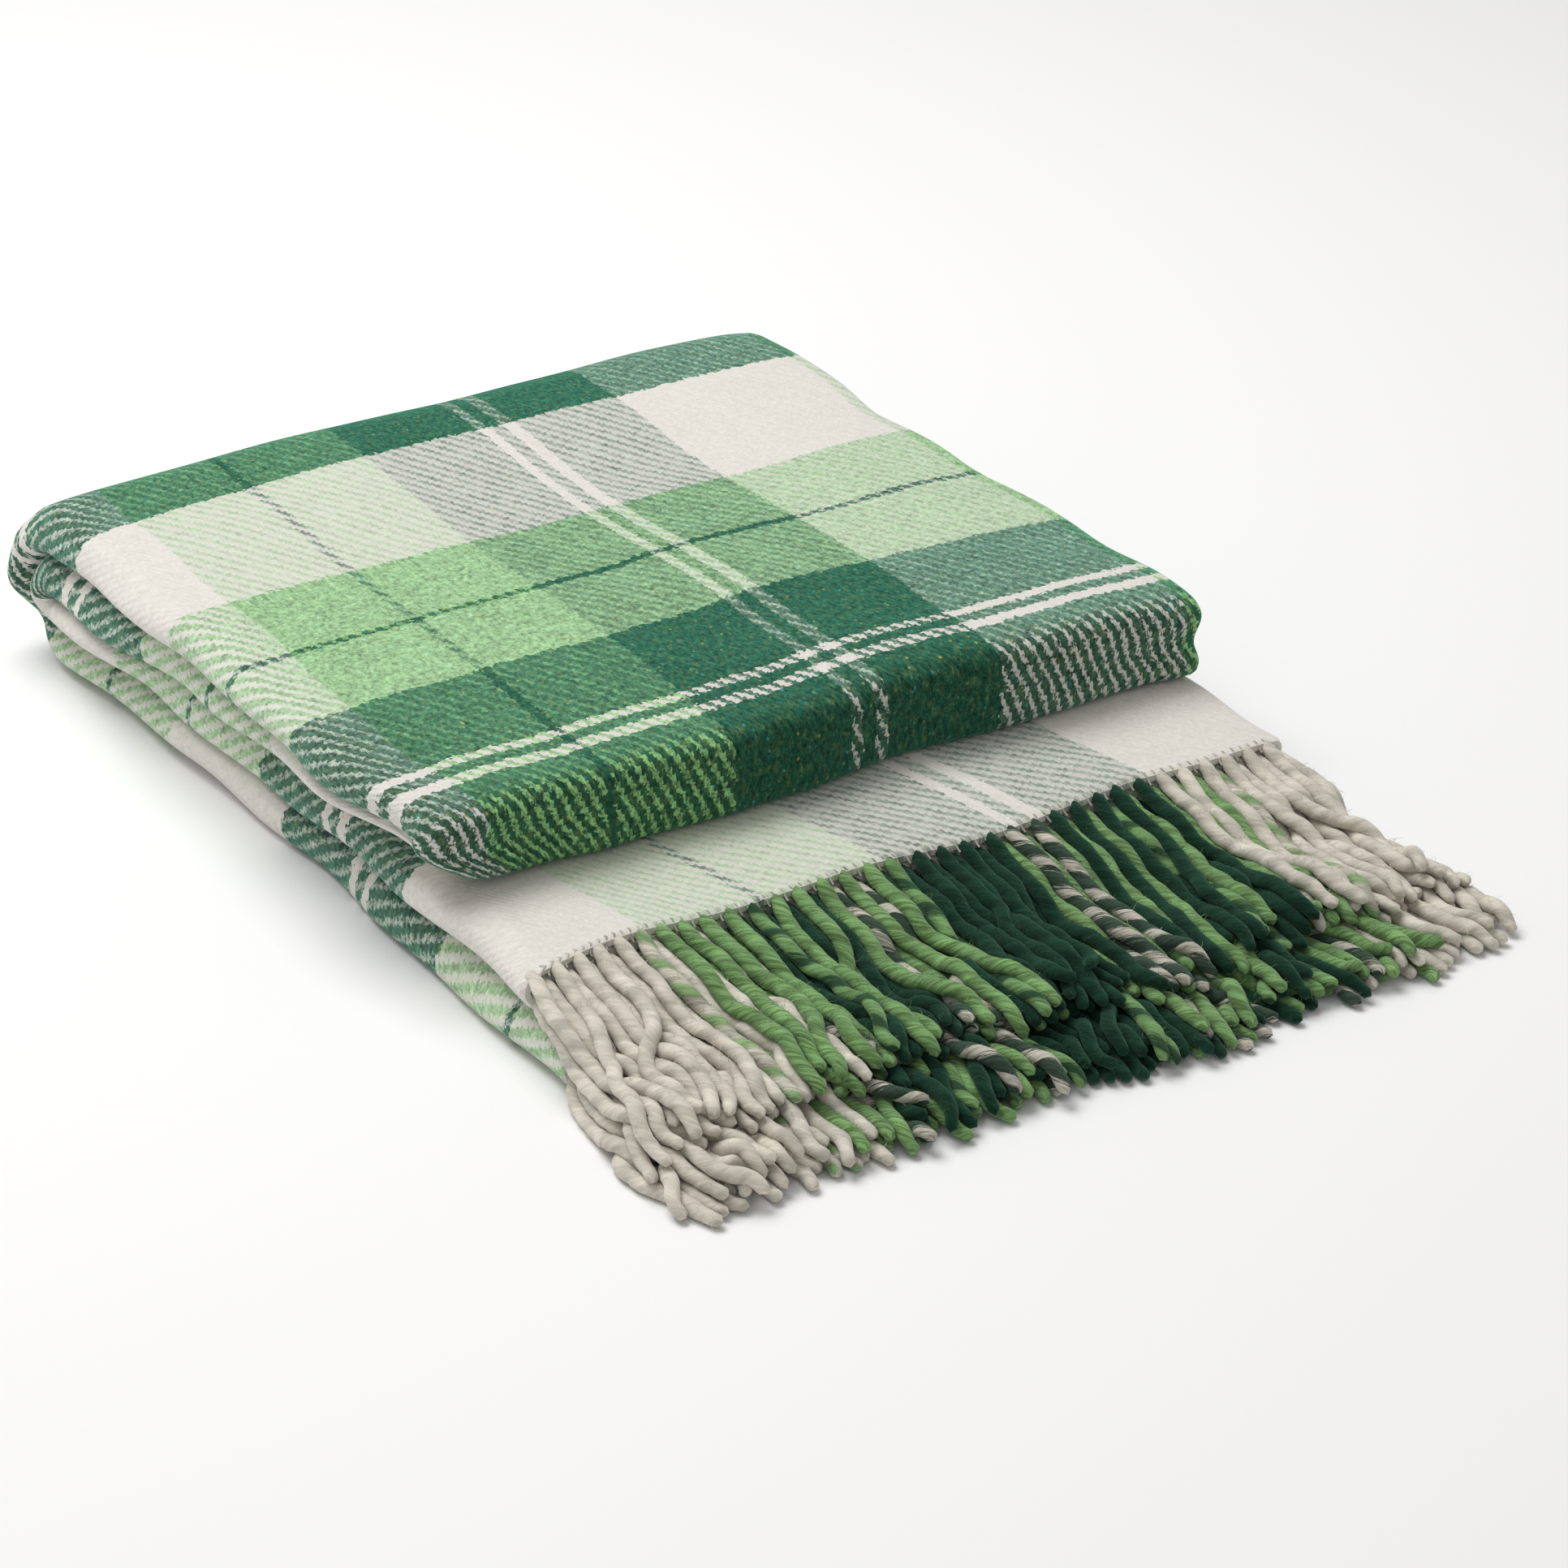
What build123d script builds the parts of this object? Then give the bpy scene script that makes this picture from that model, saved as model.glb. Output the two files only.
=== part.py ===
from build123d import *

import os

# A fringed tartan throw, folded in quarters lengthwise and then in quarters crosswise.
#
# Frame: +Z up from the surface that the throw lies on, +Y towards the back folds, -Y towards the fringes,
# +X towards the open selvedges. The origin is the middle of the whole object's footprint.
#
# Lengthwise, the cloth is folded twice, so each panel is four plies of one winding cross-section: the outer
# ply wraps round the inner ones at the left, and the first fold and the two selvedges lie at the right.
# Crosswise, the quartered strip is folded in half and doubled back, which stacks four panels. From the
# bottom: bottom_panel, lower_panel with the fringed upper_leaf in front of it, inner_panel, top_panel.
# The cloth is one woven piece. It is divided at its folds, where it bends.

# Driving dimensions, in millimetres
folded_width = 356.0  # across a panel, from rounded fold to rounded fold
ply_thickness = 4.45  # one ply of brushed wool, as it lies
ply_gap = 0.3  # between the plies of a panel
panel_gap = 0.3  # between panels that move apart
fold_to_fold = 300.0  # straight length of the stacked panels, between the centrelines of their folds
upper_hem_reach = 71.0  # upper hem, ahead of the front fold's centreline
lower_hem_reach = 97.0  # lower hem, ahead of the same line
hinge_clearance = 0.3  # play in front of a fold that a leaf lifts past

tassel_length = 100.0
tassel_diameter = 6.0
tassels_per_ply = 34
tassel_tip_rounding = 2.0
hem_thread_diameter = 1.4

# The warp stripes, which set the colours of the tassels, left to right on a face that looks up
light_stripe = 108.0
dark_stripe = 122.0
cream_stripe = 90.0
cream_before_first_stripe = 59.0  # cream on a fringed panel's face, left of its first light stripe
doubled_back_place = 379.0  # across the cloth, where plies that run back would meet the left side
cream_line_places = (0.46, 0.56)  # two cream lines within a dark stripe, as shares of its width

# Derived sizes
plies = 4
panels = 4
ply_pitch = ply_thickness + ply_gap
panel_thickness = plies * ply_thickness + (plies - 1) * ply_gap
panel_pitch = panel_thickness + panel_gap
stack_height = panels * panel_thickness + (panels - 1) * panel_gap
back_axis_height = stack_height / 2
front_fold_radius = panel_thickness + panel_gap / 2
bottom_level, lower_level, inner_level, top_level = [panel * panel_pitch for panel in range(panels)]
front_axis_height = top_level - panel_gap / 2

fringe_gap = hem_thread_diameter + panel_gap  # from a hem to the roots of its tassels
overall_length = stack_height / 2 + fold_to_fold + lower_hem_reach + fringe_gap + tassel_length
back_line = overall_length / 2 - stack_height / 2  # centreline of both back folds
front_line = back_line - fold_to_fold  # centreline of the front fold
upper_hem = front_line - upper_hem_reach
lower_hem = front_line - lower_hem_reach
leaf_hinge = front_line - front_fold_radius - hinge_clearance

tassel_pitch = folded_width / (tassels_per_ply + 0.5)
sett_repeat = light_stripe + dark_stripe + cream_stripe

os.makedirs("parts", exist_ok=True)


def finish(piece, name):
    """Label a finished sub-part and write it as one STEP file."""
    piece.label = name
    export_step(piece, f"parts/{name}.step")


def ply_bend(centre_x, centre_z, outer_radius, start_angle):
    """Half ring of one ply that turns back on itself, in the current sketch."""
    with BuildLine() as ring:
        outside = CenterArc((centre_x, centre_z), outer_radius, start_angle, 180)
        inside = CenterArc((centre_x, centre_z), outer_radius - ply_thickness, start_angle, 180)
        Line(outside @ 0, inside @ 0)
        Line(outside @ 1, inside @ 1)
    make_face(ring.edges())


def panel_section(level, first_fold_on_top):
    """Winding cross-section of a panel: four plies, nested folds at the left, the first fold at the right."""
    nested_radius = panel_thickness / 2
    pair_radius = ply_thickness + ply_gap / 2
    left_end = -folded_width / 2 + nested_radius
    right_end = folded_width / 2 - pair_radius
    middle = level + panel_thickness / 2
    for ply in range(plies):
        with Locations(((left_end + right_end) / 2, level + ply * ply_pitch + ply_thickness / 2)):
            Rectangle(right_end - left_end, ply_thickness)
    ply_bend(left_end, middle, nested_radius, 90)
    ply_bend(left_end, middle, pair_radius, 90)
    pair_middle = middle + ply_pitch if first_fold_on_top else middle - ply_pitch
    ply_bend(right_end, pair_middle, pair_radius, -90)


# ---- Stacked panels ----

with BuildPart() as bottom_panel:
    with BuildSketch(Plane.XZ.offset(-back_line)):
        panel_section(bottom_level, first_fold_on_top=False)
    extrude(amount=back_line - lower_hem)
finish(bottom_panel.part, "bottom_panel")

with BuildPart() as lower_panel:
    with BuildSketch(Plane.XZ.offset(-back_line)):
        panel_section(lower_level, first_fold_on_top=True)
    extrude(amount=back_line - leaf_hinge - panel_gap / 2)
finish(lower_panel.part, "lower_panel")

with BuildPart() as upper_leaf:
    with BuildSketch(Plane.XZ.offset(-leaf_hinge + panel_gap / 2)):
        panel_section(lower_level, first_fold_on_top=True)
    extrude(amount=leaf_hinge - panel_gap / 2 - upper_hem)
finish(upper_leaf.part, "upper_leaf")

with BuildPart() as inner_panel:
    with BuildSketch(Plane.XZ.offset(-back_line + panel_gap)):
        panel_section(inner_level, first_fold_on_top=False)
    extrude(amount=fold_to_fold - panel_gap)
finish(inner_panel.part, "inner_panel")

with BuildPart() as top_panel:
    with BuildSketch(Plane.XZ.offset(-back_line + panel_gap)):
        panel_section(top_level, first_fold_on_top=True)
    extrude(amount=fold_to_fold - panel_gap)
finish(top_panel.part, "top_panel")

# ---- Crosswise folds: each turns a panel's section half a turn into the panel above ----

back_axis = Axis((0, back_line, back_axis_height), (1, 0, 0))
front_axis = Axis((0, front_line, front_axis_height), (-1, 0, 0))

with BuildPart() as outer_back_fold:
    with BuildSketch(Plane.XZ.offset(-back_line)):
        panel_section(bottom_level, first_fold_on_top=False)
    revolve(axis=back_axis, revolution_arc=180)
finish(outer_back_fold.part, "outer_back_fold")

with BuildPart() as inner_back_fold:
    with BuildSketch(Plane.XZ.offset(-back_line)):
        panel_section(lower_level, first_fold_on_top=True)
    revolve(axis=back_axis, revolution_arc=180)
finish(inner_back_fold.part, "inner_back_fold")

with BuildPart() as front_fold:
    with BuildSketch(Plane.XZ.offset(-front_line)):
        panel_section(inner_level, first_fold_on_top=False)
    revolve(axis=front_axis, revolution_arc=180)
finish(front_fold.part, "front_fold")


# ---- Hems: a stitched thread across the end of each ply ----

def hem_thread(level, hem, name):
    """The four threads of one hem, one against the end of each ply."""
    thread_span = folded_width - panel_thickness
    with BuildPart() as thread:
        with BuildSketch(Plane.YZ.offset(-thread_span / 2)):
            for ply in range(plies):
                with Locations((hem - hem_thread_diameter / 2, level + ply * ply_pitch + ply_thickness / 2)):
                    Circle(hem_thread_diameter / 2)
        extrude(amount=thread_span)
    finish(thread.part, name)


hem_thread(lower_level, upper_hem, "upper_hem_thread")
hem_thread(bottom_level, lower_hem, "lower_hem_thread")


# ---- Fringes: twisted tassels, grouped by hem, ply and yarn colour ----

def tassel_colour(across):
    """Yarns of the tassel at a distance across the cloth. Between two stripes it is a twist of both."""
    place = (across - cream_before_first_stripe) % sett_repeat
    straddle = 0.35 * tassel_pitch
    if min(place, sett_repeat - place) < straddle:
        return "cream_light_twist"
    if abs(place - light_stripe) < straddle or abs(place - light_stripe / 2) < tassel_pitch / 2:
        return "light_dark_twist"
    if place < light_stripe:
        return "light_green"
    place -= light_stripe
    if abs(place - dark_stripe) < straddle:
        return "cream_dark_twist"
    if place < dark_stripe:
        on_cream_line = any(abs(place - line * dark_stripe) < tassel_pitch / 2 for line in cream_line_places)
        return "cream_dark_twist" if on_cream_line else "dark_green"
    return "cream"


def place_across_cloth(ply_from_face, from_left):
    """Distance across the cloth of a point on a ply. The second and fourth plies run back to the left."""
    runs_back = ply_from_face in (1, 3)
    return doubled_back_place - from_left if runs_back else from_left


def tassel_rows(level, hem, face_on_top, row_name):
    """All the tassels of one hem: a row to each ply, alternate rows half a pitch aside so that they nest."""
    lowest = level + tassel_diameter / 2 + panel_gap
    row_pitch = (panel_thickness - tassel_diameter - 2 * panel_gap) / (plies - 1)
    for ply_from_top in range(plies):
        height = lowest + (plies - 1 - ply_from_top) * row_pitch
        aside = tassel_pitch / 2 * (ply_from_top % 2)
        ply_from_face = ply_from_top if face_on_top else plies - 1 - ply_from_top
        groups = {}
        for tassel in range(tassels_per_ply):
            from_left = tassel_pitch * (tassel + 0.5) + aside
            colour = tassel_colour(place_across_cloth(ply_from_face, from_left))
            groups.setdefault(colour, []).append((from_left - folded_width / 2, height))
        for colour, places in groups.items():
            with BuildPart() as tassels:
                with BuildSketch(Plane.XZ.offset(-hem + fringe_gap)):
                    with Locations(*places):
                        Circle(tassel_diameter / 2)
                extrude(amount=tassel_length)
                tips = tassels.faces().filter_by(Axis.Y).group_by(Axis.Y)[0]
                fillet(tips.edges(), radius=tassel_tip_rounding)
            finish(tassels.part, f"{row_name}_ply_{ply_from_top + 1}_{colour}")


tassel_rows(lower_level, upper_hem, True, "upper_fringe")
tassel_rows(bottom_level, lower_hem, False, "lower_fringe")
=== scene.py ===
import math

import bpy
import numpy as np
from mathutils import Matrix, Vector


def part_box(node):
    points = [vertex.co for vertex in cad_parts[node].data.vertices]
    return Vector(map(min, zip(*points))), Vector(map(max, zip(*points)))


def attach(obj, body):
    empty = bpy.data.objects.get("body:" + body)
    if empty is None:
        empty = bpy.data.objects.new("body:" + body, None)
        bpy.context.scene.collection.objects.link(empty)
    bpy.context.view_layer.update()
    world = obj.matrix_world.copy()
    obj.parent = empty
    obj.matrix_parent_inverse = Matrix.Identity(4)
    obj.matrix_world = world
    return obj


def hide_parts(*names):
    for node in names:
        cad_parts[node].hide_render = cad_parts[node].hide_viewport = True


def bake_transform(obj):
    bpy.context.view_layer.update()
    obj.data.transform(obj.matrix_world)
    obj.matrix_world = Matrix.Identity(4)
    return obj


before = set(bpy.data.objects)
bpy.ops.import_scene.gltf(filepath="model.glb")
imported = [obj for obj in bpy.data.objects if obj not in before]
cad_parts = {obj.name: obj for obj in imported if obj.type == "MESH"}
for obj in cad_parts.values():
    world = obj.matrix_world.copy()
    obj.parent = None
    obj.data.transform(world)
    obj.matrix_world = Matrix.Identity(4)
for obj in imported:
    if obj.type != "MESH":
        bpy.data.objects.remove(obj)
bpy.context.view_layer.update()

MM = 0.001
HALF_TURN, QUARTER_TURN = math.pi, math.pi / 2
rng = np.random.default_rng(11)
coarse = 1.0


# ---- Sizes, read from the frame ----

def box(node):
    low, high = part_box(node)
    return np.array(low), np.array(high)


bottom_low, bottom_high = box("bottom_panel")
lower_low = box("lower_panel")[0]
leaf_low, leaf_high = box("upper_leaf")
top_low, top_high = box("top_panel")
outer_low, outer_high = box("outer_back_fold")
front_low, front_high = box("front_fold")

left_side, right_side = top_low[0], top_high[0]
folded_width = right_side - left_side
panel_thickness = bottom_high[2] - bottom_low[2]
panel_pitch = lower_low[2] - bottom_low[2]
stack_height = outer_high[2]
back_line = outer_low[1]
front_line = front_high[1]
lower_hem = bottom_low[1]
upper_hem = leaf_low[1]
leaf_line = leaf_high[1]
back_axis_height = stack_height / 2
front_axis_height = (front_low[2] + front_high[2]) / 2
panel_middles = [panel_thickness / 2 + panel_pitch * panel for panel in range(4)]

ply_gap = 0.3 * MM
panel_gap = panel_pitch - panel_thickness
ply_thickness = (panel_thickness - 3 * ply_gap) / 4
ply_pitch = ply_thickness + ply_gap

# The tartan, the same across the cloth (warp) and along it (weft), in millimetres
LIGHT_STRIPE, DARK_STRIPE, CREAM_STRIPE = 108.0, 122.0, 90.0
SETT = LIGHT_STRIPE + DARK_STRIPE + CREAM_STRIPE
DARK_LINE_WIDTH = 4.2  # one thin dark line in the middle of a light stripe
CREAM_LINES = (0.46, 0.56)  # two cream lines in a dark stripe, as shares of its width
CREAM_LINE_WIDTH = 5.2
THIN_LINE_REACH = 3.2  # from the middle of any thin line, where its yarn stands out of the cloth
CREAM_LEFT = 29.0  # cream between the left fold's side and the first light stripe
FRINGE_CREAM_LEFT = 59.0  # the same at the hems: the cloth lies a little askew in the lower panels
DOUBLED_BACK = 379.0  # where the plies that run back to the left would meet the left side
TWILL_ACROSS, TWILL_ALONG = 5.75, 10.6  # between twill ribs, across and along the cloth


# ---- Helpers ----

def smoothstep(x):
    x = np.clip(x, 0, 1)
    return x * x * (3 - 2 * x)


def rises(value, start, width):
    """0 up to start and 1 from start + width on. value is in metres, the others in millimetres."""
    return smoothstep((value - start * MM) / (width * MM))


def falls(value, end, width):
    """1 up to end - width and 0 from end on. value is in metres, the others in millimetres."""
    return smoothstep((end * MM - value) / (width * MM))


def fades(distance, reach):
    """1 at no distance, and fading away over about the reach, in millimetres."""
    return np.exp(-np.abs(distance) / (reach * MM))


class Ripple:
    """Smooth seeded noise: a sum of sine waves, about -1 to 1, over any number of coordinates in metres."""

    def __init__(self, wavelengths, seed, waves=7):
        draw = np.random.default_rng(seed)
        wavelengths = np.array(wavelengths, float)
        self.k = draw.normal(size=(waves, len(wavelengths))) / wavelengths * 2 * math.pi * 0.7
        self.phase = draw.uniform(0, 2 * math.pi, waves)
        self.scale = math.sqrt(2 / waves)

    def __call__(self, *coordinates):
        total = 0
        for k, phase in zip(self.k, self.phase):
            total = total + np.sin(sum(a * c for a, c in zip(k, coordinates)) + phase)
        return total * self.scale


loft = Ripple((0.16, 0.14), 1)
left_wander = Ripple((0.11, 0.045), 2)
right_wander = Ripple((0.12, 0.05), 3)
hem_wander = Ripple((0.13, 0.3), 4)
face_wrinkle = Ripple((0.07, 0.05, 0.06), 5, waves=9)


FRONT_FOLD_POWER = 5.0  # 2 would be a half circle, and more is squarer
FRONT_FOLD_LENGTH = 0.95  # how far it reaches forwards, as a share of the half circle's radius


def fuller_front_fold(y, z):
    """The front fold's half circle, squared up a little, as thick cloth folds."""
    ahead = y - front_line
    above = z - front_axis_height
    radius = np.maximum(np.hypot(ahead, above), 1e-9)
    shares = (np.abs(ahead) / radius) ** FRONT_FOLD_POWER + (np.abs(above) / radius) ** FRONT_FOLD_POWER
    in_fold = (ahead < 0) & (above > -panel_pitch)
    fuller = np.where(in_fold, shares ** (-1 / FRONT_FOLD_POWER), 1)
    ahead = ahead * fuller * np.where(in_fold, FRONT_FOLD_LENGTH, 1)
    return front_line + ahead, front_axis_height + above * fuller


def height_share(x, y, z, low):
    """How high the stack lies, as a share of its ideal height: full at the back, drooping at its edges."""
    from_left, from_right = x - left_side, right_side - x
    share = 1 + 0.016 * loft(x, y)
    share += 0.045 * rises(y, 120, 110) * rises(from_left, 25, 110)
    share -= 0.05 * fades(from_left, 18)
    share -= 0.045 * fades(from_right, 16) * (1 + 1.2 * low * falls(y - front_line, 0, 60))
    share -= 0.03 * fades(y - (front_line - 18 * MM), 25) * rises(z, 52, 20)
    return share


def sideways(x, y, z, low, at_back):
    """How far the left side lies in, mostly in the lower panels, and how far both sides wander."""
    from_left, from_right = x - left_side, right_side - x
    inset = (11.5 - 1.5 * at_back) * MM * low
    shift = falls(from_left, 110, 108) * (2.0 * MM * left_wander(y, z) + inset)
    shift = shift - 5 * MM * fades(from_left, 30) * at_back * np.exp(-((z - 34 * MM) / (25 * MM)) ** 2)
    shift = shift + falls(from_right, 80, 78) * (1.6 * MM * right_wander(y, z) - 1.5 * MM * (1 - low))
    tucked = falls(y, -10, 60) * rises(z, 34, 6)
    return shift + 9 * MM * fades(from_left, 45) * tucked


def settle(p):
    """Where a point of the ideal folded stack lies on the real one: lofted, inset and a little uneven."""
    x = p[..., 0]
    y, z = fuller_front_fold(p[..., 1], p[..., 2])
    at_back = rises(y, 110, 100)
    low = falls(z + 17 * MM * at_back, 62, 30)
    # The lower panels are thicker under the left end of the front fold, and push it up
    middle = 2 * panel_pitch
    squeeze = np.where(z < middle, 0.4 * z / middle, (stack_height - z) / (stack_height - middle))
    lift = 9 * MM * fades(x - left_side, 28) * falls(y, 80, 140) * rises(y, -130, 50) * squeeze
    # The upper stack's front wanders only away from the leaf, which lifts past it
    dy = 1.4 * MM * hem_wander(x, z) * falls(y - back_line, 0, 250)
    dy = np.where(z > middle - panel_gap, np.abs(dy), dy)
    dz = lift + 0.25 * MM * face_wrinkle(x, y, z) * rises(z, 0, 10)
    return np.stack([x + sideways(x, y, z, low, at_back), y + dy, z * height_share(x, y, z, low) + dz], -1)


def new_piece(name, vertices, faces, material, uv, place=None, flat_faces=0):
    """A mesh object from arrays: vertices (n, 3), faces (m, 4), and per vertex a uv and a place within its
    yarn. The last flat_faces faces are flat, with sharp edges."""
    mesh = bpy.data.meshes.new(name)
    vertices = np.ascontiguousarray(vertices, np.float32)
    faces = np.ascontiguousarray(faces, np.int32)
    mesh.vertices.add(len(vertices))
    mesh.vertices.foreach_set("co", vertices.ravel())
    mesh.loops.add(faces.size)
    mesh.loops.foreach_set("vertex_index", faces.ravel())
    mesh.polygons.add(len(faces))
    mesh.polygons.foreach_set("loop_start", np.arange(0, faces.size, faces.shape[1], dtype=np.int32))
    mesh.polygons.foreach_set("use_smooth", np.arange(len(faces)) < len(faces) - flat_faces)
    mesh.materials.append(material)
    layer = mesh.uv_layers.new(name="Cloth")
    layer.data.foreach_set("uv", np.ascontiguousarray(uv[faces.ravel()], np.float32).ravel())
    if place is not None:
        mark = mesh.attributes.new("place", "FLOAT_VECTOR", "POINT")
        mark.data.foreach_set("vector", np.ascontiguousarray(place, np.float32).ravel())
    mesh.update(calc_edges=True)
    if flat_faces:
        ends = np.empty(2 * len(mesh.edges), np.int32)
        mesh.edges.foreach_get("vertices", ends)
        keys = np.sort(ends.reshape(-1, 2), axis=1) @ [len(vertices), 1]
        rims = np.stack([faces[-flat_faces:], np.roll(faces[-flat_faces:], 1, axis=1)], -1).reshape(-1, 2)
        rim_keys = np.sort(rims, axis=1) @ [len(vertices), 1]
        mesh.edges.foreach_set("use_edge_sharp", np.isin(keys, rim_keys))
    mesh.validate()
    piece = bpy.data.objects.new(name, mesh)
    bpy.context.scene.collection.objects.link(piece)
    return piece


def grid_faces(rows, columns, wrap):
    """Quads over a grid of rows x columns vertices, joined round along the columns where wrap is true."""
    r = np.arange(rows - 1)[:, None]
    c = np.arange(columns if wrap else columns - 1)[None, :]
    after = (c + 1) % columns
    a = r * columns + c
    b = r * columns + after
    return np.stack([a, b, b + columns, a + columns], -1).reshape(-1, 4)


# ---- Materials ----

class Tree:
    """Short calls for building a material's nodes."""

    def __init__(self, name):
        self.material = bpy.data.materials.new(name)
        self.material.use_nodes = True
        self.tree = self.material.node_tree
        self.shader = self.tree.nodes["Principled BSDF"]

    def node(self, kind, **settings):
        made = self.tree.nodes.new(kind)
        for key, value in settings.items():
            setattr(made, key, value)
        return made

    def link(self, source, target):
        if isinstance(source, (int, float, tuple)):
            target.default_value = source
        else:
            self.tree.links.new(source, target)

    def math(self, operation, *inputs):
        made = self.node("ShaderNodeMath", operation=operation)
        for i, value in enumerate(inputs):
            self.link(value, made.inputs[i])
        return made.outputs[0]

    def add(self, a, b):
        return self.math("ADD", a, b)

    def minus(self, a, b):
        return self.math("SUBTRACT", a, b)

    def times(self, a, b):
        return self.math("MULTIPLY", a, b)

    def swing(self, noise, reach):
        """Noise from 0 to 1, made to swing about zero."""
        return self.times(self.minus(noise, 0.5), reach)

    def between(self, a, b, share):
        return self.add(a, self.times(self.minus(b, a), share))

    def mix(self, factor, a, b, blend="MIX"):
        made = self.node("ShaderNodeMix", data_type="RGBA", blend_type=blend)
        self.link(factor, made.inputs["Factor"])
        self.link(a, made.inputs[6])
        self.link(b, made.inputs[7])
        return made.outputs[2]

    def tinted(self, colour, tint):
        return self.mix(1.0, colour, tint, "MULTIPLY")

    def bands(self, value, stops):
        made = self.node("ShaderNodeValToRGB")
        ramp = made.color_ramp
        ramp.interpolation = "CONSTANT"
        while len(ramp.elements) < len(stops):
            ramp.elements.new(0.5)
        for element, (place, colour) in zip(ramp.elements, stops):
            element.position = place
            element.color = colour
        self.link(value, made.inputs[0])
        return made.outputs[0]

    def step(self, value, low, high):
        made = self.node("ShaderNodeMapRange", interpolation_type="SMOOTHSTEP")
        for i, number in enumerate((value, low, high, 0.0, 1.0)):
            self.link(number, made.inputs[i])
        return made.outputs[0]

    def noise(self, vector, scale, detail=2.0, roughness=0.5):
        made = self.node("ShaderNodeTexNoise")
        self.link(vector, made.inputs["Vector"])
        for name, number in (("Scale", scale), ("Detail", detail), ("Roughness", roughness)):
            made.inputs[name].default_value = number
        return made.outputs[0]

    def scaled(self, vector, factors):
        made = self.node("ShaderNodeVectorMath", operation="MULTIPLY")
        self.link(vector, made.inputs[0])
        made.inputs[1].default_value = factors
        return made.outputs[0]

    def bump(self, height, distance, strength):
        made = self.node("ShaderNodeBump")
        made.inputs["Strength"].default_value = strength
        made.inputs["Distance"].default_value = distance
        self.link(height, made.inputs["Height"])
        self.link(made.outputs[0], self.shader.inputs["Normal"])

    def wool(self, colour, sheen, sheen_tint):
        self.link(colour, self.shader.inputs["Base Color"])
        self.shader.inputs["Roughness"].default_value = 0.95
        self.shader.inputs["Specular IOR Level"].default_value = 0.12
        self.shader.inputs["Sheen Weight"].default_value = sheen
        self.shader.inputs["Sheen Roughness"].default_value = 0.5
        self.link(sheen_tint, self.shader.inputs["Sheen Tint"])


# Yarn colours in the cloth and in the tassels, and the colour of the nap that the light catches on them
CREAM, CREAM_YARN, CREAM_NAP = (0.73, 0.705, 0.655, 1), (0.64, 0.60, 0.52, 1), (0.88, 0.86, 0.83, 1)
LIGHT, LIGHT_YARN, LIGHT_NAP = (0.31, 0.50, 0.27, 1), (0.22, 0.40, 0.15, 1), (0.60, 0.85, 0.58, 1)
DARK, DARK_NAP = (0.010, 0.062, 0.034, 1), (0.20, 0.85, 0.60, 1)
DARK_YARN, DARK_YARN_NAP = (0.007, 0.036, 0.021, 1), (0.22, 0.50, 0.34, 1)
THREAD = (0.72, 0.69, 0.61, 1)
LOOSE_FIBRE = (0.42, 0.56, 0.44, 1)
TURQUOISE = (0.08, 0.40, 0.42, 1)
YELLOW = (0.60, 0.56, 0.10, 1)
OLIVE = (0.30, 0.34, 0.10, 1)
WHITE, BLACK = (1, 1, 1, 1), (0, 0, 0, 1)


def stripes(cream, light, dark):
    """The sett as constant colour stops, from the start of a light stripe."""
    line, half = LIGHT_STRIPE / 2, DARK_LINE_WIDTH / 2
    stops = [(0, light), (line - half, dark), (line + half, light), (LIGHT_STRIPE, dark)]
    for share in CREAM_LINES:
        middle = LIGHT_STRIPE + share * DARK_STRIPE
        stops += [(middle - CREAM_LINE_WIDTH / 2, cream), (middle + CREAM_LINE_WIDTH / 2, dark)]
    stops.append((LIGHT_STRIPE + DARK_STRIPE, cream))
    return [(place / SETT, colour) for place, colour in stops]


def thin_lines():
    """Stops that are 1 on the thin lines of the sett, which stand out of the cloth, and 0 elsewhere."""
    middles = [LIGHT_STRIPE / 2] + [LIGHT_STRIPE + share * DARK_STRIPE for share in CREAM_LINES]
    stops = [(0, BLACK)]
    for middle in middles:
        stops += [(middle - THIN_LINE_REACH, WHITE), (middle + THIN_LINE_REACH, BLACK)]
    return [(place / SETT, colour) for place, colour in stops]


def twill(t, across, along):
    """Two over, two under: the floats step aside by a thread each time, which makes slanting ribs.
    The first output is 1 where the warp lies on top, and the second swings from 0 to 1 over a rib."""
    column = t.math("FLOOR", t.math("DIVIDE", across, TWILL_ACROSS / 4))
    row = t.math("FLOOR", t.math("DIVIDE", along, TWILL_ALONG / 4))
    stepped = t.math("LESS_THAN", t.math("FLOORED_MODULO", t.minus(column, row), 4.0), 1.5)
    ribs = t.minus(t.math("DIVIDE", across, TWILL_ACROSS), t.math("DIVIDE", along, TWILL_ALONG))
    from_rib = t.math("ABSOLUTE", t.minus(t.math("FRACT", ribs), 0.75))
    return stepped, t.math("PINGPONG", t.times(from_rib, 2.0), 1.0)


def warp_showing(t, on_top, bend, patchy, pale_weft, cream_warp):
    """The warp's share of the colour. Nap blurs flat cloth, and floats stand out crisply where it bends."""
    thinner = t.add(t.times(cream_warp, 0.07), 0.10)
    on_top = t.add(on_top, t.times(t.minus(pale_weft, 1.0), thinner))
    on_top = t.between(t.step(on_top, 0.30, 0.90), t.step(on_top, 0.50, 0.76), bend)
    contrast = t.between(t.add(t.times(patchy, 0.22), 0.20), 0.92, bend)
    share = t.add(t.add(t.times(bend, -0.14), 0.18), t.times(on_top, contrast))
    full = t.add(t.times(pale_weft, t.add(t.times(cream_warp, 0.28), 0.30)), 0.86)
    return t.math("MINIMUM", t.times(share, full), 0.96)


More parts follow.
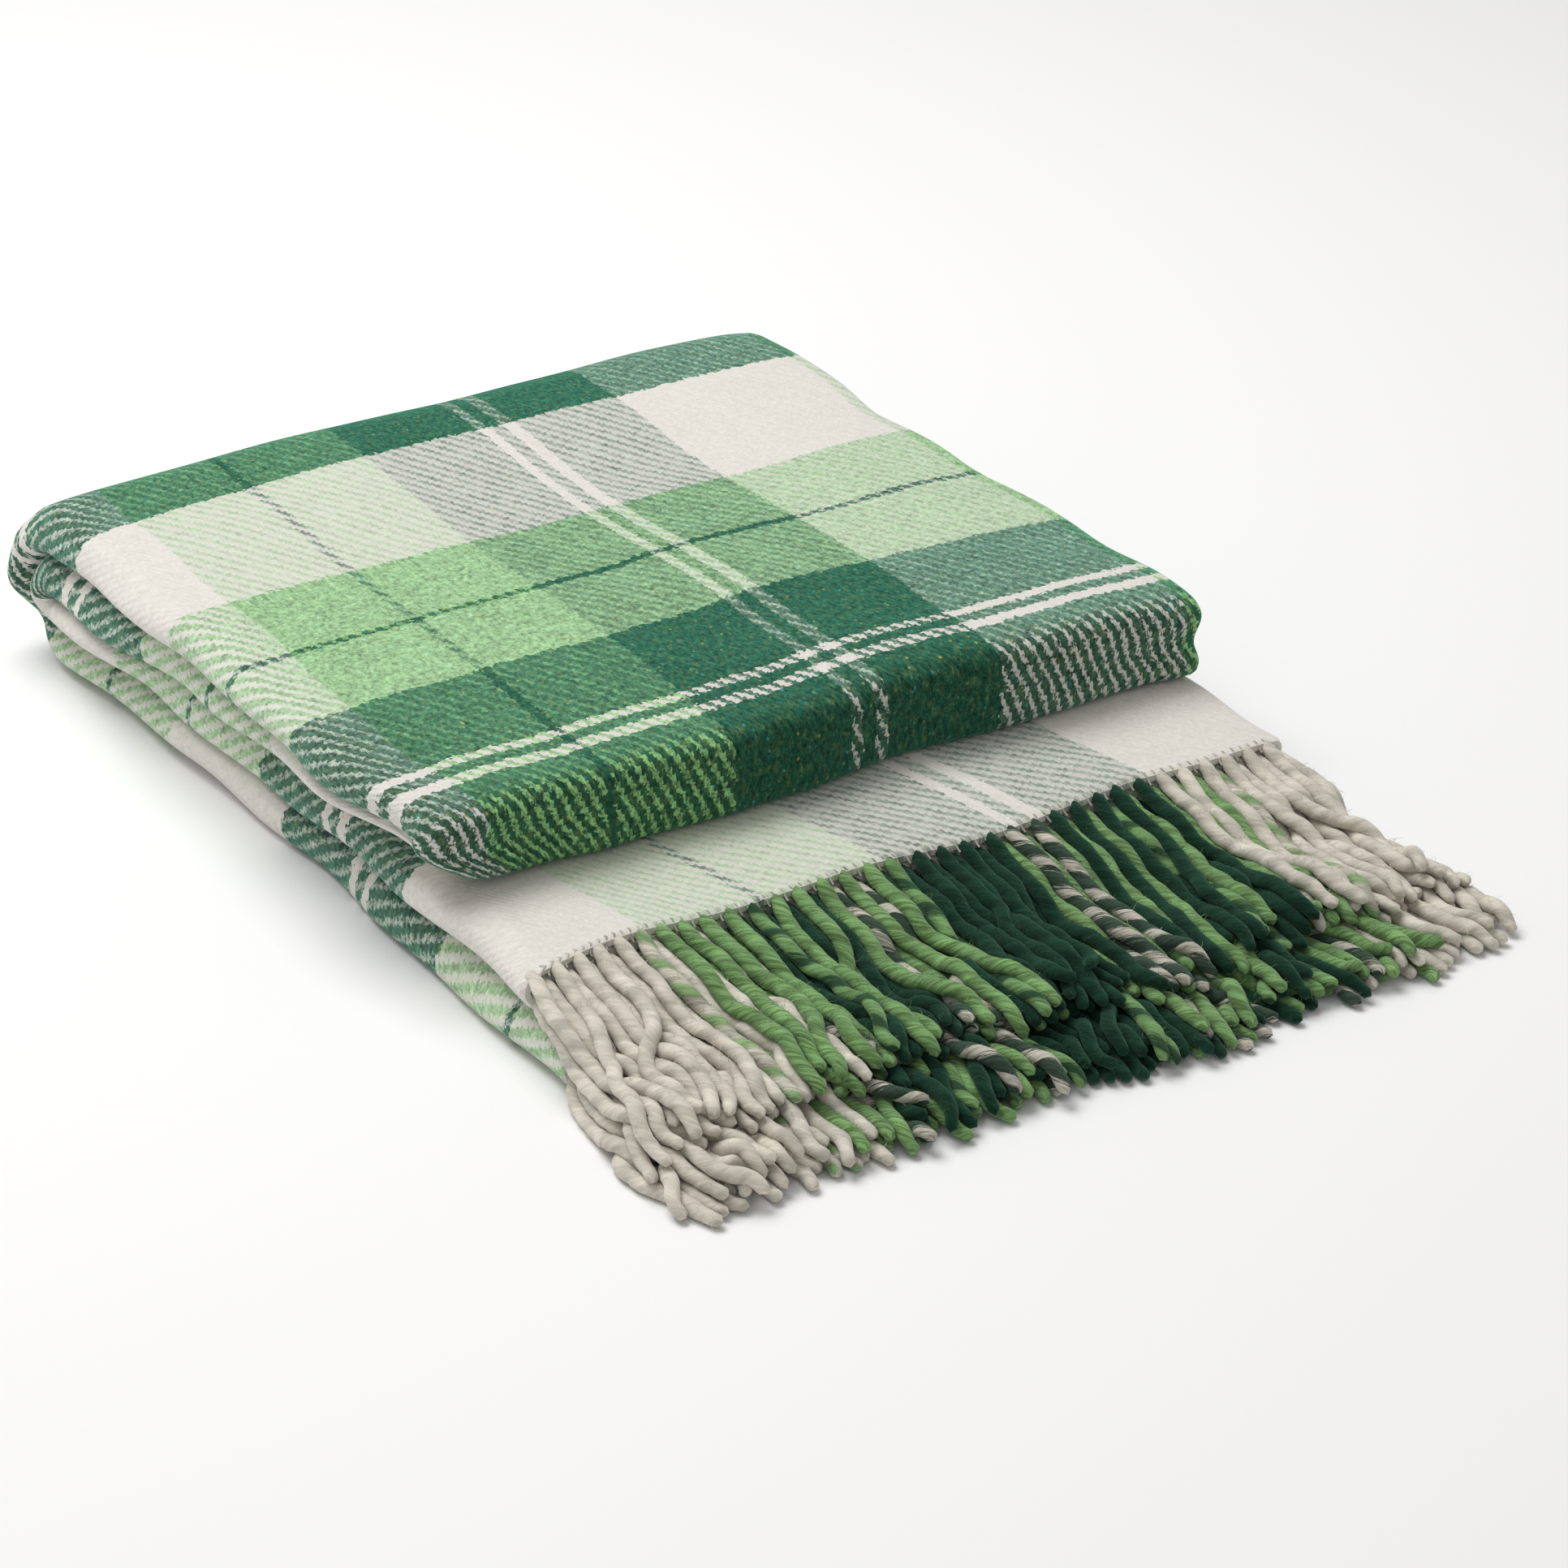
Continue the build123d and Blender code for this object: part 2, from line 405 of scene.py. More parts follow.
def flecked(t, uv, woven, dyed):
    """Olive heather, neps of turquoise and yellow, and pale loose fibres, in the green yarns only."""
    heather = t.step(t.noise(t.scaled(uv, (1.0, 0.6, 1.0)), 0.4, 4.0, 0.75), 0.46, 0.68)
    colour = t.mix(t.times(t.times(heather, dyed), 0.22), woven, OLIVE)
    cells = t.node("ShaderNodeTexVoronoi", feature="F1")
    t.link(uv, cells.inputs["Vector"])
    cells.inputs["Scale"].default_value = 0.28
    kind = t.node("ShaderNodeSeparateColor")
    t.link(cells.outputs["Color"], kind.inputs[0])
    nep_colour = t.mix(t.math("GREATER_THAN", kind.outputs[0], 0.4), YELLOW, TURQUOISE)
    nep = t.times(t.step(cells.outputs["Distance"], 0.23, 0.11), dyed)
    nep = t.times(nep, t.step(kind.outputs[1], 0.45, 0.6))
    colour = t.mix(t.times(nep, 0.42), colour, nep_colour)
    lying_across = t.noise(t.scaled(uv, (0.35, 1.5, 1.0)), 1.2, 2.0, 0.6)
    lying_along = t.noise(t.scaled(uv, (1.5, 0.35, 1.0)), 1.2, 2.0, 0.6)
    loose = t.step(t.math("MAXIMUM", lying_across, lying_along), 0.66, 0.76)
    return t.mix(t.times(t.times(loose, dyed), 0.30), colour, LOOSE_FIBRE)


def shaded(t, colour, value):
    """The colour, made lighter or darker."""
    tone = t.node("ShaderNodeHueSaturation")
    t.link(colour, tone.inputs["Color"])
    t.link(value, tone.inputs["Value"])
    return tone.outputs[0]


def tartan_material():
    """Brushed wool twill. The Cloth map holds the place on the cloth: across and along it, in millimetres."""
    t = Tree("tartan_cloth")
    uv = t.node("ShaderNodeUVMap", uv_map="Cloth").outputs[0]
    split = t.node("ShaderNodeSeparateXYZ")
    t.link(uv, split.inputs[0])
    across, along = split.outputs[0], split.outputs[1]
    bend = t.node("ShaderNodeAttribute", attribute_name="bend", attribute_type="GEOMETRY").outputs["Fac"]
    fray_across = t.noise(uv, 0.55, 2.0)
    fray_along = t.noise(uv, 0.43, 2.0)
    fuzz = t.step(t.noise(uv, 0.5, 4.0, 0.75), 0.30, 0.70)
    hairs = t.step(t.noise(t.scaled(uv, (1.0, 0.6, 1.0)), 0.5, 4.0, 0.8), 0.34, 0.66)
    patchy = t.step(t.noise(uv, 0.13, 3.0, 0.6), 0.32, 0.68)
    cloudy = t.step(t.noise(uv, 0.05, 4.0, 0.6), 0.25, 0.75)
    mottled = t.step(t.noise(uv, 0.2, 3.0, 0.7), 0.32, 0.68)

    # The place in the sett, with frayed edges, and the stripes of each kind
    frayed_across = t.add(across, t.swing(fray_across, 4.5))
    frayed_along = t.add(along, t.swing(fray_along, 7.0))
    warp_place = t.math("FRACT", t.math("DIVIDE", t.minus(frayed_across, CREAM_LEFT), SETT))
    weft_place = t.math("FRACT", t.math("DIVIDE", frayed_along, SETT))
    pale_weft = t.bands(weft_place, stripes(WHITE, WHITE, BLACK))
    cream_warp = t.bands(warp_place, stripes(WHITE, BLACK, BLACK))
    light_warp = t.bands(warp_place, stripes(BLACK, WHITE, BLACK))
    warp_line = t.times(t.bands(warp_place, thin_lines()), 0.32)
    weft_line = t.times(t.bands(weft_place, thin_lines()), 0.65)
    bend = t.math("MAXIMUM", bend, t.math("MAXIMUM", warp_line, weft_line))

    # Which yarn lies on top
    stepped, wave = twill(t, t.add(across, t.swing(fray_along, 2.0)), t.add(along, t.swing(fray_across, 3.0)))
    on_top = t.add(t.add(t.times(stepped, 0.55), t.times(wave, 0.45)), t.swing(fuzz, 0.62))
    warp_share = warp_showing(t, on_top, bend, patchy, pale_weft, cream_warp)

    # The warp is seen through the weft's nap. Light floats on dark weft are deeper in colour
    yarns = stripes(CREAM, LIGHT, DARK)
    naps = stripes(CREAM_NAP, LIGHT_NAP, DARK_NAP)
    weft_nap = t.bands(weft_place, naps)
    through_nap = t.mix(t.times(t.minus(1.15, bend), 0.36), WHITE, weft_nap)
    on_dark = t.minus(1.0, pale_weft)
    deeper = t.times(t.times(t.math("MAXIMUM", on_dark, weft_line), light_warp), bend)
    warp_seen = t.tinted(t.bands(warp_place, yarns), through_nap)
    warp_seen = t.mix(deeper, warp_seen, t.tinted(warp_seen, (0.92, 1.06, 0.80, 1)))
    woven = t.mix(warp_share, t.bands(weft_place, yarns), warp_seen)
    napped = t.mix(warp_share, weft_nap, t.bands(warp_place, naps))
    napped = t.mix(t.times(t.times(on_dark, bend), 0.45), napped, BLACK)
    napped = t.mix(deeper, napped, t.tinted(napped, (0.72, 0.92, 0.72, 1)))
    napped = t.mix(t.times(t.minus(1.0, hairs), 0.55), napped, BLACK)

    # Flecks and uneven dye, both stronger in the green yarns
    channels = t.node("ShaderNodeSeparateColor")
    t.link(woven, channels.inputs[0])
    dyed = t.step(channels.outputs[0], 0.62, 0.18)
    shade = t.add(t.times(hairs, 0.85), t.times(cloudy, 0.25))
    shade = t.add(t.add(shade, t.times(fuzz, 0.65)), t.times(mottled, 0.40))
    depth = t.add(t.times(dyed, 0.80), 0.13)
    colour = shaded(t, flecked(t, uv, woven, dyed), t.add(t.times(t.minus(shade, 1.07), depth), 1.0))

    relief = t.times(t.math("PINGPONG", t.add(wave, 0.5), 0.5), 0.8)
    relief = t.times(relief, t.add(bend, 0.35))
    relief = t.add(t.add(relief, t.times(fuzz, 0.22)), t.times(hairs, 0.12))
    t.bump(relief, 0.6 * MM, 0.9)
    t.wool(colour, 1.0, napped)
    return t.material


def yarn_material(name, strands, naps, fleck=0.0, plied=0.6, depth=0.40):
    """Soft spun wool of one colour, or two strands twisted together, by a point's place in its own tassel."""
    t = Tree(name)
    place = t.node("ShaderNodeAttribute", attribute_name="place", attribute_type="GEOMETRY").outputs["Vector"]
    fibres = t.noise(t.scaled(place, (1.0, 1.0, 0.16)), 0.6, 4.0, 0.7)
    fine = t.noise(t.scaled(place, (1.0, 1.0, 0.5)), 1.6, 3.0, 0.7)
    drift = t.noise(place, 0.07, 3.0, 0.6)
    colour, nap_colour = strands[0], naps[0]
    if len(strands) == 2:
        split = t.node("ShaderNodeSeparateXYZ")
        t.link(place, split.inputs[0])
        side = t.add(split.outputs[0], t.swing(fibres, 15.0))
        second = t.add(t.times(t.step(side, -0.1, 2.1), 0.84), 0.06)
        colour = t.mix(second, strands[0], strands[1])
        nap_colour = t.mix(second, naps[0], naps[1])
    # Painted shade: darker streaks along the yarn, as deep as depth, stand for the shade in the hollows
    # between its fibres
    painted_hollow_shade = t.tinted(colour, (1 - depth, 1 - depth, 1 - 1.1 * depth, 1))
    base = t.mix(t.step(fibres, 0.60, 0.40), colour, painted_hollow_shade)
    if fleck:
        base = t.mix(t.times(t.step(fine, 0.62, 0.72), fleck), base, YELLOW)
        base = t.mix(t.times(t.step(fine, 0.36, 0.28), fleck), base, TURQUOISE)
    colour = shaded(t, base, t.add(t.times(t.step(drift, 0.3, 0.7), 0.45), 0.74))
    t.bump(t.add(fibres, t.times(fine, 0.7)), 0.9 * MM, plied)
    t.wool(colour, 0.4, nap_colour)
    return t.material


tartan = tartan_material()
YARNS = {
    "cream": yarn_material("cream_yarn", [CREAM_YARN], [CREAM_NAP], plied=0.25, depth=0.16),
    "light_green": yarn_material("light_green_yarn", [LIGHT_YARN], [LIGHT_NAP], fleck=0.35, depth=0.55),
    "dark_green": yarn_material("dark_green_yarn", [DARK_YARN], [DARK_YARN_NAP], fleck=0.12),
    "light_dark_twist": yarn_material("light_dark_yarn", [LIGHT_YARN, DARK_YARN], [LIGHT_NAP, DARK_YARN_NAP]),
    "cream_dark_twist": yarn_material("cream_dark_yarn", [DARK_YARN, CREAM_YARN], [DARK_YARN_NAP, CREAM_NAP]),
    "cream_light_twist": yarn_material("cream_light_yarn", [CREAM_YARN, LIGHT_YARN], [CREAM_NAP, LIGHT_NAP]),
}
stitch_thread = yarn_material("hem_thread", [THREAD], [CREAM_NAP])


# ---- The folded strip: its route, its cross-section, and the place of each point on the flat cloth ----

def line_part(y0, y1, z, step):
    """A straight part of a route: its middle line (y, z), direction and length so far at each station."""
    n = max(2, round(abs(y1 - y0) / (step * coarse * MM)) + 1)
    y = np.linspace(y0, y1, n)
    tangent = math.copysign(1, y1 - y0)
    return np.stack([y, np.full(n, z)], -1), np.tile([tangent, 0.0], (n, 1)), np.abs(y - y0)


def arc_part(y, z, radius, start, end, step):
    """The same for an arc round (y, z)."""
    n = max(6, round(abs(end - start) * radius / (step * coarse * MM)) + 1)
    angle = np.linspace(start, end, n)
    turn = math.copysign(1, end - start)
    centre = np.stack([y + radius * np.cos(angle), z + radius * np.sin(angle)], -1)
    tangent = turn * np.stack([-np.sin(angle), np.cos(angle)], -1)
    return centre, tangent, np.abs(angle - start) * radius


def join_parts(*parts):
    """One route from several, without the repeated end points."""
    centres, tangents, lengths = [], [], []
    travelled = 0.0
    for i, (centre, tangent, length) in enumerate(parts):
        keep = slice(0 if i == 0 else 1, None)
        centres.append(centre[keep])
        tangents.append(tangent[keep])
        lengths.append(length[keep] + travelled)
        travelled += length[-1]
    return np.concatenate(centres), np.concatenate(tangents), np.concatenate(lengths)


def section():
    """The winding centreline of the plies across a panel: its points (x, and w, the height towards the face),
    its direction there, and the distance along it from the left fold's outermost point."""
    run_step = 4.0 * coarse * MM
    bend_step = 1.3 * coarse * MM
    outer = panel_thickness / 2 - ply_thickness / 2
    inner = ply_pitch / 2
    left = left_side + panel_thickness / 2
    right = right_side - inner - ply_thickness / 2
    points, directions = [], []

    def run(x0, x1, w):
        n = round(abs(x1 - x0) / run_step)
        points.extend([(x, w) for x in np.linspace(x0, x1, n, endpoint=False)])
        directions.extend([(math.copysign(1, x1 - x0), 0.0)] * n)

    def bend(x, w, radius, start, end):
        n = max(7, round(abs(end - start) * radius / bend_step))
        turn = math.copysign(1, end - start)
        for a in np.linspace(start, end, n, endpoint=False):
            points.append((x + radius * math.cos(a), w + radius * math.sin(a)))
            directions.append((-turn * math.sin(a), turn * math.cos(a)))

    run(right, left, -1.5 * ply_pitch)
    back_ply_end = len(points)
    bend(left, 0, outer, 3 * QUARTER_TURN, QUARTER_TURN)
    face_ply_start = len(points)
    run(left, right, 1.5 * ply_pitch)
    bend(right, ply_pitch, inner, QUARTER_TURN, -QUARTER_TURN)
    run(right, left, 0.5 * ply_pitch)
    bend(left, 0, inner, QUARTER_TURN, 3 * QUARTER_TURN)
    run(left, right, -0.5 * ply_pitch)
    points.append((right, -0.5 * ply_pitch))
    directions.append((1.0, 0.0))
    points, directions = np.array(points), np.array(directions)
    distance = np.concatenate([[0], np.cumsum(np.linalg.norm(np.diff(points, axis=0), axis=1))])
    left_apex = (distance[back_ply_end] + distance[face_ply_start]) / 2
    return points, directions, distance - left_apex


SECTION, SECTION_DIRECTION, SECTION_ACROSS = section()


SIDE_BEND = 0.6  # how crisply the weave stands out on the rounded left side, where a crosswise fold is 1


def cloth_piece(name, route, along, thin=None, askew=0.0):
    """A length of the folded strip. Each station has its place along the flat cloth and the shift of the
    pattern to the right, both in millimetres, and its share of the plies' thickness."""
    centre, tangent, _ = route
    normal = np.stack([tangent[:, 1], -tangent[:, 0]], -1)  # towards the face ply, in the YZ plane
    stations = len(centre)
    thin = np.ones(stations) if thin is None else thin
    sides = []
    for side in (1, -1):
        half = side * ply_thickness / 2 * thin[:, None]
        offset_x = -SECTION_DIRECTION[None, :, 1] * half
        offset_w = SECTION_DIRECTION[None, :, 0] * half
        x = SECTION[None, :, 0] + offset_x
        w = SECTION[None, :, 1] + offset_w
        y = centre[:, 0, None] + normal[:, 0, None] * w
        z = centre[:, 1, None] + normal[:, 1, None] * w
        sides.append(np.stack([x, y, z], -1))
    ring = np.concatenate([sides[0], sides[1][:, ::-1]], axis=1)
    vertices = settle(ring).reshape(-1, 3)
    across = np.concatenate([SECTION_ACROSS, SECTION_ACROSS[::-1]]) / MM
    askew = np.broadcast_to(askew, stations)
    uv = np.stack(np.broadcast_arrays(across[None, :] - askew[:, None], along[:, None]), -1)
    count = ring.shape[1]
    ply = np.arange(len(SECTION) - 1)
    cap = np.stack([ply, count - 1 - ply, count - 2 - ply, ply + 1], -1)
    end_cap = cap[:, ::-1] + (stations - 1) * count
    faces = np.concatenate([grid_faces(stations, count, wrap=True), cap, end_cap])
    piece = new_piece(name, vertices, faces, tartan, uv.reshape(-1, 2), flat_faces=2 * len(cap))
    side_bend = 1 - smoothstep((SECTION[:, 0] - left_side) / (24 * MM) - 0.3)
    side_bend = np.concatenate([side_bend, side_bend[::-1]])
    turned = 1 - np.abs(tangent[:, 0]) ** 3
    bend = np.maximum(SIDE_BEND * side_bend[None, :], smoothstep(turned * 1.6)[:, None])
    mark = piece.data.attributes.new("bend", "FLOAT", "POINT")
    mark.data.foreach_set("value", np.ascontiguousarray(bend.reshape(-1), np.float32))
    return piece


# Places along the flat cloth, in millimetres, where 0 is the start of a light stripe on the top panel
TOP_AT_BACK = -116.6  # top panel, at the back line
OUTER_FOLD_CLOTH = 111.0  # cloth on the face ply round the outer back fold
INNER_FOLD_CLOTH = 73.0  # and round the inner one
HEM_ROUNDING = 1.6 * MM
LEAF_BEND = 22 * MM  # cloth behind the leaf's hinge that goes into the leaf piece

seam = back_line - panel_gap  # where the upper stack's cloth takes over from the back folds
straight = seam - front_line
back_radius = back_axis_height - panel_middles[0]
inner_radius = back_axis_height - panel_middles[1]
front_middle_radius = front_axis_height - panel_middles[2]
front_arc = HALF_TURN * front_middle_radius
inner_at_back = TOP_AT_BACK + (straight + front_arc + straight) / MM
lower_at_back = inner_at_back + INNER_FOLD_CLOTH
bottom_at_back = TOP_AT_BACK - OUTER_FOLD_CLOTH


def pattern_shift(route):
    """How far the pattern has shifted to the right in the lower panels: more and more towards the hems."""
    shift = 1.55 * (FRINGE_CREAM_LEFT - CREAM_LEFT)
    return shift * falls(route[0][:, 0], 60, 330)


def rounded_hem(route, at_start):
    """How thin the plies are at each station: they thin over the last of the cloth, at the hem."""
    distance = route[2] if at_start else route[2][-1] - route[2]
    return 0.55 + 0.45 * smoothstep(distance / HEM_ROUNDING)


def with_hem_stations(route, at_start):
    """Two more stations close to the hem, so that its rounding has a shape."""
    centre, tangent, length = route
    extra = np.array([0.35, 1.0]) * HEM_ROUNDING
    total = length[-1]
    wanted = np.sort(np.concatenate([length, extra if at_start else total - extra]))
    new_centre = np.stack([np.interp(wanted, length, centre[:, i]) for i in range(2)], -1)
    new_tangent = np.stack([np.interp(wanted, length, tangent[:, i]) for i in range(2)], -1)
    return new_centre, new_tangent, wanted


# Bottom panel, from its hem to the back line
bottom_route = with_hem_stations(line_part(lower_hem, back_line, panel_middles[0], 4.0), True)
bottom_along = bottom_at_back - (back_line - bottom_route[0][:, 0]) / MM
bottom_cloth = cloth_piece(
    "bottom_cloth", bottom_route, bottom_along, rounded_hem(bottom_route, True), pattern_shift(bottom_route)
)

# Outer back fold, from the bottom panel up to the top panel
outer_route = join_parts(
    arc_part(back_line, back_axis_height, back_radius, -QUARTER_TURN, QUARTER_TURN, 1.4),
    line_part(back_line, seam, panel_middles[3], 4.0),
)
outer_along = bottom_at_back + outer_route[2] / outer_route[2][-1] * OUTER_FOLD_CLOTH
outer_fold_cloth = cloth_piece("outer_fold_cloth", outer_route, outer_along)

# Top panel, front fold and inner panel, in one piece
upper_route = join_parts(
    line_part(seam, front_line, panel_middles[3], 4.0),
    arc_part(front_line, front_axis_height, front_middle_radius, QUARTER_TURN, 3 * QUARTER_TURN, 0.9),
    line_part(front_line, seam, panel_middles[2], 5.0),
)


def upper_along_cloth(length):
    """Along the cloth over the upper stack. Round the front fold it keeps to the longer face ply."""
    into = np.clip((length - straight) / front_arc, 0, 1)
    extra = HALF_TURN * 1.5 * ply_pitch
    gained = extra * into * (1 - rises(length - straight - 0.8 * front_arc, 0, 30))
    return TOP_AT_BACK + (length + gained) / MM


upper_cloth = cloth_piece("upper_cloth", upper_route, upper_along_cloth(upper_route[2]))

# Inner back fold, from the inner panel down to the lower panel
inner_route = join_parts(
    line_part(seam, back_line, panel_middles[2], 4.0),
    arc_part(back_line, back_axis_height, inner_radius, QUARTER_TURN, -QUARTER_TURN, 1.5),
)
inner_along = inner_at_back + inner_route[2] / inner_route[2][-1] * INNER_FOLD_CLOTH
inner_fold_cloth = cloth_piece("inner_fold_cloth", inner_route, inner_along)

# Lower panel, and the leaf in front of it, split a little behind where the leaf comes out from under the front
# fold
lower_route = line_part(back_line, leaf_line + LEAF_BEND, panel_middles[1], 5.0)
lower_cloth = cloth_piece(
    "lower_cloth", lower_route, lower_at_back + lower_route[2] / MM, askew=pattern_shift(lower_route)
)
leaf_route = with_hem_stations(line_part(leaf_line + LEAF_BEND, upper_hem, panel_middles[1], 3.0), False)
leaf_along = lower_at_back + (back_line - leaf_route[0][:, 0]) / MM
leaf_cloth = cloth_piece(
    "leaf_cloth", leaf_route, leaf_along, rounded_hem(leaf_route, False), pattern_shift(leaf_route)
)


# ---- Fringes ----

TASSELS_PER_PLY = 34
TASSEL_LENGTH = 100 * MM
TASSEL_RADIUS = 3.05 * MM
TASSEL_JOINTS = 27  # points along each tassel's middle line
TASSEL_SIDES = 12
TWIST_PITCH = 17 * MM
FIBRES_PER_TASSEL = 60
ROOT_DEPTH = 2.5 * MM  # how far a tassel starts inside the cloth
REACH_RIGHT, REACH_LEFT = 8 * MM, 5 * MM  # how far a tassel's middle line may head past the cloth's sides
tassel_pitch = folded_width / (TASSELS_PER_PLY + 0.5)


def tassel_colour(across):
    """Yarns of the tassel at a place across the cloth, in millimetres from the left side of the face ply."""
    pitch = tassel_pitch / MM
    place = (across - FRINGE_CREAM_LEFT) % SETT
    straddle = 0.35 * pitch
    if min(place, SETT - place) < straddle:
        return "cream_light_twist"
    if abs(place - LIGHT_STRIPE) < straddle or abs(place - LIGHT_STRIPE / 2) < pitch / 2:
        return "light_dark_twist"
    if place < LIGHT_STRIPE:
        return "light_green"
    place -= LIGHT_STRIPE
    if abs(place - DARK_STRIPE) < straddle:
        return "cream_dark_twist"
    if place < DARK_STRIPE:
        near_line = any(abs(place - share * DARK_STRIPE) < pitch / 2 for share in CREAM_LINES)
        return "cream_dark_twist" if near_line else "dark_green"
    return "cream"


def close_pairs(points, reach):
    """Index pairs of points nearer than reach along every axis, found by sweeping along x."""
    order = np.argsort(points[:, 0])
    placed = points[order]
    first, second = [], []
    for k in range(1, len(points)):
        gap = placed[k:] - placed[:-k]
        if gap[:, 0].min() > reach:
            break
        near = np.nonzero((np.abs(gap) < reach).all(axis=1))[0]
        first.append(order[near])
        second.append(order[near + k])
    return np.concatenate(first), np.concatenate(second)


def keep_apart(lines, spacing, step, at_least):
    """Draw joints a step apart along a tassel towards their distance, or only push them out to a share
    of it, so that the tassel doesn't kink."""
    gap = lines[:, step:] - lines[:, :-step]
    far = np.linalg.norm(gap, axis=2)
    wanted = spacing * step
    error = far - wanted if at_least is None else np.minimum(far - at_least * wanted, 0)
    move = gap * (0.5 * error / np.maximum(far, 1e-9))[..., None]
    firmness = 0.9 if step == 1 else 0.35
    lines[:, :-step] += move * firmness
    lines[:, step:] -= move * firmness


def lay_tassels(lines, hems, rounds=110):
    """Let the tassels sink on to each other and the floor. The first two joints of each line are held."""
    count, joints, _ = lines.shape
    spacing = np.linalg.norm(lines[:, 1] - lines[:, 0], axis=1)[:, None]
    owner = np.repeat(np.arange(count), joints)
    held = lines[:, :2].copy()
    upper = (hems == upper_hem)[:, None]
    touching = 1.92 * TASSEL_RADIUS  # soft yarns press into each other a little
    for turn in range(rounds):
        fall = 0.45 * MM * (1 - 0.75 * turn / rounds)
        lines[:, 2:, 2] -= fall * np.linspace(0.35, 1, joints - 2)
        if turn % 4 == 0:
            first, second = close_pairs(lines.reshape(-1, 3), 2 * TASSEL_RADIUS + 1.6 * MM)
            other = owner[first] != owner[second]
            first, second = first[other], second[other]
        for _ in range(3):
            flat = lines.reshape(-1, 3)
            gap = flat[second] - flat[first]
            far = np.linalg.norm(gap, axis=1)
            overlap = np.clip(touching - far, 0, None)
            push = gap * (0.42 * overlap / np.maximum(far, 1e-6))[:, None]
            for axis in range(3):
                flat[:, axis] += np.bincount(second, push[:, axis], len(flat))
                flat[:, axis] -= np.bincount(first, push[:, axis], len(flat))
            lines = flat.reshape(count, joints, 3)
            for step, at_least in ((4, 0.965), (2, 0.985), (1, None)):
                keep_apart(lines, spacing, step, at_least)
                lines[:, :2] = held
            on_cloth = upper & (lines[:, :, 1] > lower_hem - 1 * MM)
            ground = np.where(on_cloth, panel_thickness, 0) + TASSEL_RADIUS
            lines[:, 2:, 2] = np.maximum(lines[:, 2:, 2], ground[:, 2:])
    return lines


def place_across_cloth(ply_from_face, from_left):
    """Place across the cloth. The face and third plies run rightwards, the others back."""
    return DOUBLED_BACK * MM - from_left if ply_from_face in (1, 3) else from_left


lean = Ripple((0.09, 0.03), 8)
curl = Ripple((0.05, 0.02), 9)


def tassel_line(from_left, height, hem):
    """A tassel's middle line before it sinks. It leaves the hem straight, then leans and curls."""
    x = left_side + from_left + rng.normal(0, 0.5 * MM)
    root = settle(np.array([x, hem + ROOT_DEPTH, height - 0.4 * MM]))
    root[2] = max(root[2], 0.85 * TASSEL_RADIUS)
    length = TASSEL_LENGTH * np.clip(rng.normal(1.0, 0.04), 0.9, 1.06) + ROOT_DEPTH
    share = np.linspace(0, 1, TASSEL_JOINTS)
    heading = 0.06 * lean(x, height) + rng.normal(0, 0.055)
    at_right = falls(folded_width - from_left, 85, 85)
    if hem == lower_hem:
        heading += 0.05 + 0.05 * falls(from_left, 90, 90)
    heading += 0.11 * at_right
    turn = 0.22 * curl(x, height) + rng.normal(0, 0.19)
    wave = np.sin(share * rng.uniform(2.5, 5.5) + rng.uniform(-1, 1))
    angle = heading * smoothstep(share * 3) + turn * wave * share + 0.16 * at_right * share ** 2
    step = length / (TASSEL_JOINTS - 1)
    along = np.stack([np.sin(angle), -np.cos(angle), np.full(TASSEL_JOINTS, -0.03)], -1)
    along[0] = along[1] = (0.0, -1.0, 0.0)
    points = root + np.concatenate([[np.zeros(3)], np.cumsum(along[:-1] * step, axis=0)])
    beyond = max(points[:, 0].max() - right_side - REACH_RIGHT, 0)
    beyond += min(points[:, 0].min() - left_side + REACH_LEFT, 0)
    points[:, 0] -= beyond * smoothstep(share)
    return points


def fringe(panel, hem, face_on_top):
    """The middle lines of one hem's tassels, and their colours."""
    lines, colours = [], []
    for ply_from_top in range(4):
        height = panel_middles[panel] + (1.5 - ply_from_top) * ply_pitch
        aside = tassel_pitch / 2 * (ply_from_top % 2)
        ply_from_face = ply_from_top if face_on_top else 3 - ply_from_top
        for i in range(TASSELS_PER_PLY):
            from_left = tassel_pitch * (i + 0.5) + aside
            colours.append(tassel_colour(place_across_cloth(ply_from_face, from_left) / MM))
            lines.append(tassel_line(from_left, height, hem))
    return np.array(lines), colours


def tube(line, guide, around, reach):
    """Rings of points round a line, at the angles around it and the reach from it. The angles are counted from
    a direction square to the guide."""
    tangent = np.gradient(line, axis=0)
    tangent /= np.linalg.norm(tangent, axis=1, keepdims=True)
    side = np.cross(tangent, guide)
    side /= np.linalg.norm(side, axis=1, keepdims=True)
    up = np.cross(side, tangent)
    return (
        line[:, None]
        + side[:, None] * (np.cos(around) * reach)[..., None]
        + up[:, None] * (np.sin(around) * reach)[..., None]
    )


